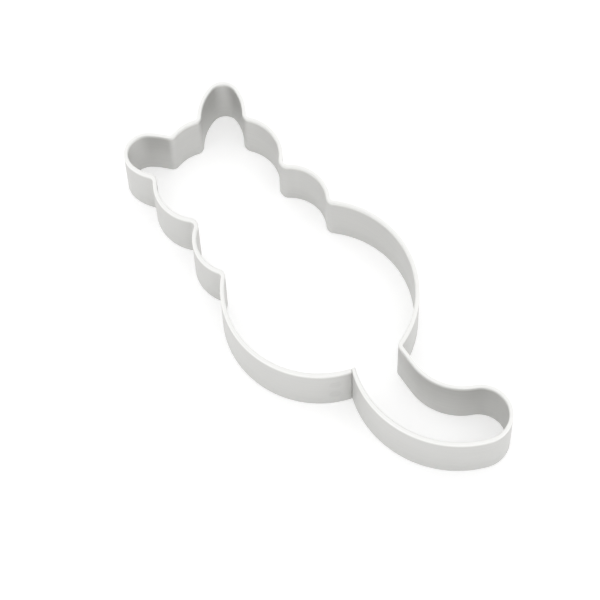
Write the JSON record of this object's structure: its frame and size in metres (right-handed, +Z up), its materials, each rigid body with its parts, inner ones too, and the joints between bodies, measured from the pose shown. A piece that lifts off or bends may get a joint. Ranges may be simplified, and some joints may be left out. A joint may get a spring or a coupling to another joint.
{
  "type": "biscuit cutter",
  "caption": "Open metal biscuit cutter bent from a flat strip into the outline of a cat seen from behind with a curled tail, its ends lapped and riveted at the tail's root.",
  "frame": {"origin": "middle of the outline's bounding box, on the surface that the cutting edge stands on", "axes": "+X from the ears towards the tail along the cutter's length, +Y to the side that the tail curls to, +Z up from the cutting edge to the rim"},
  "size_m": [0.1168, 0.047, 0.016],
  "materials": {
    "satin_aluminium": "satin, drawn along the strip",
    "rivet_aluminium": "satin"
  },
  "bodies": {
    "root": {"cutter_strip": "satin_aluminium", "seam_rivet_upper": "rivet_aluminium", "seam_rivet_lower": "rivet_aluminium"}
  },
  "joints": []
}
